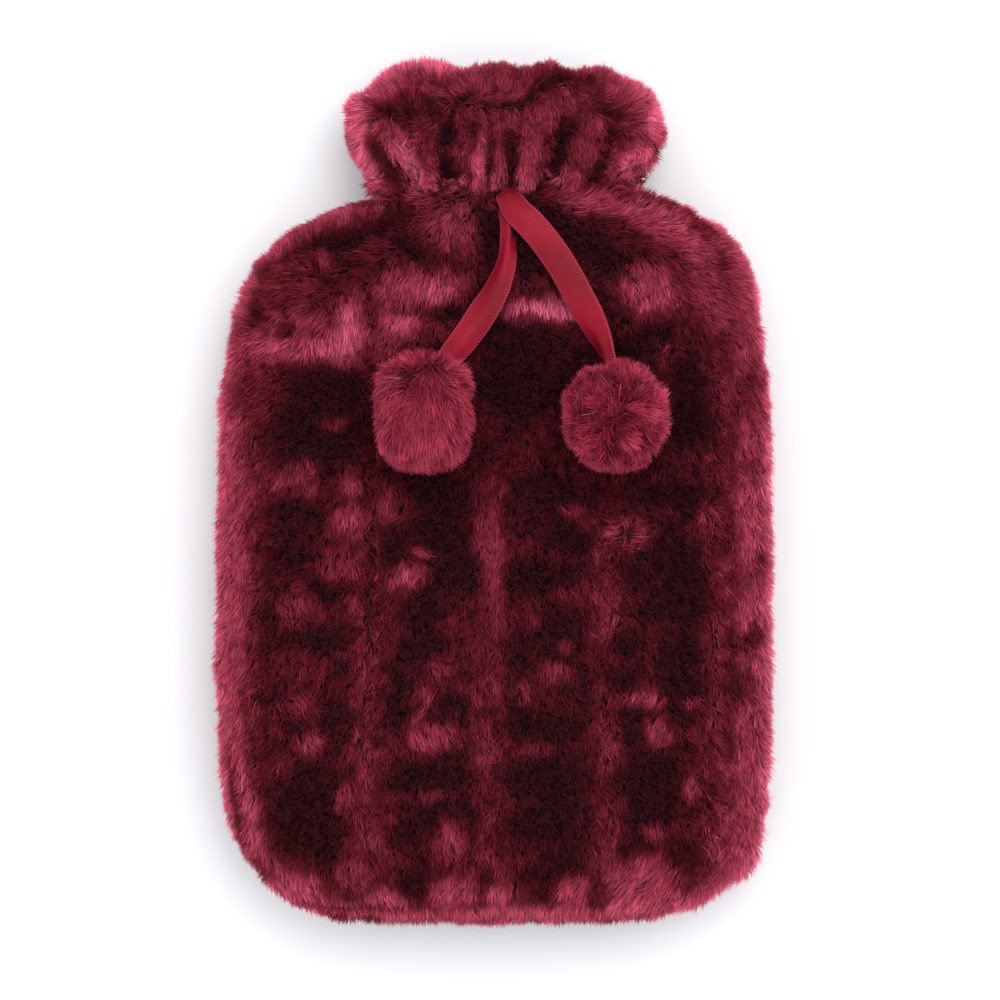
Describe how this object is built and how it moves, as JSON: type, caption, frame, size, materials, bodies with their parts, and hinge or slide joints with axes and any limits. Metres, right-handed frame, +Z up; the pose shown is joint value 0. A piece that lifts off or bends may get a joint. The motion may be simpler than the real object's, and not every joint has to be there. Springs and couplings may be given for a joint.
{
  "type": "hot water bottle cover",
  "caption": "Ribbed deep-pile plush cover for a hot water bottle, with a gathered neck, a standing pleated ruffle round the mouth and a satin drawstring that ends in pile pompoms.",
  "frame": {"origin": "on the surface that the cover lies on, under the middle of its length and width", "axes": "+Y from the bottom rim to the ruffle, +Z up through the front, +X to the right seen from the front with the neck away from the viewer"},
  "size_m": [0.2318, 0.3544, 0.0922],
  "materials": {
    "plush": "deep wine-red pile, combed into lengthwise ribs, with a soft sheen where it lies over",
    "satin": "crimson satin ribbon, glossy along its length, with a fine woven edge",
    "pompom_pile": "soft wine-red pile, a little lighter and pinker than the cover"
  },
  "bodies": {
    "root": {"front_panel": "plush", "back_panel": "plush", "ribbon_left": "satin", "ribbon_right": "satin", "pompom_left": "pompom_pile", "pompom_right": "pompom_pile"}
  },
  "joints": []
}
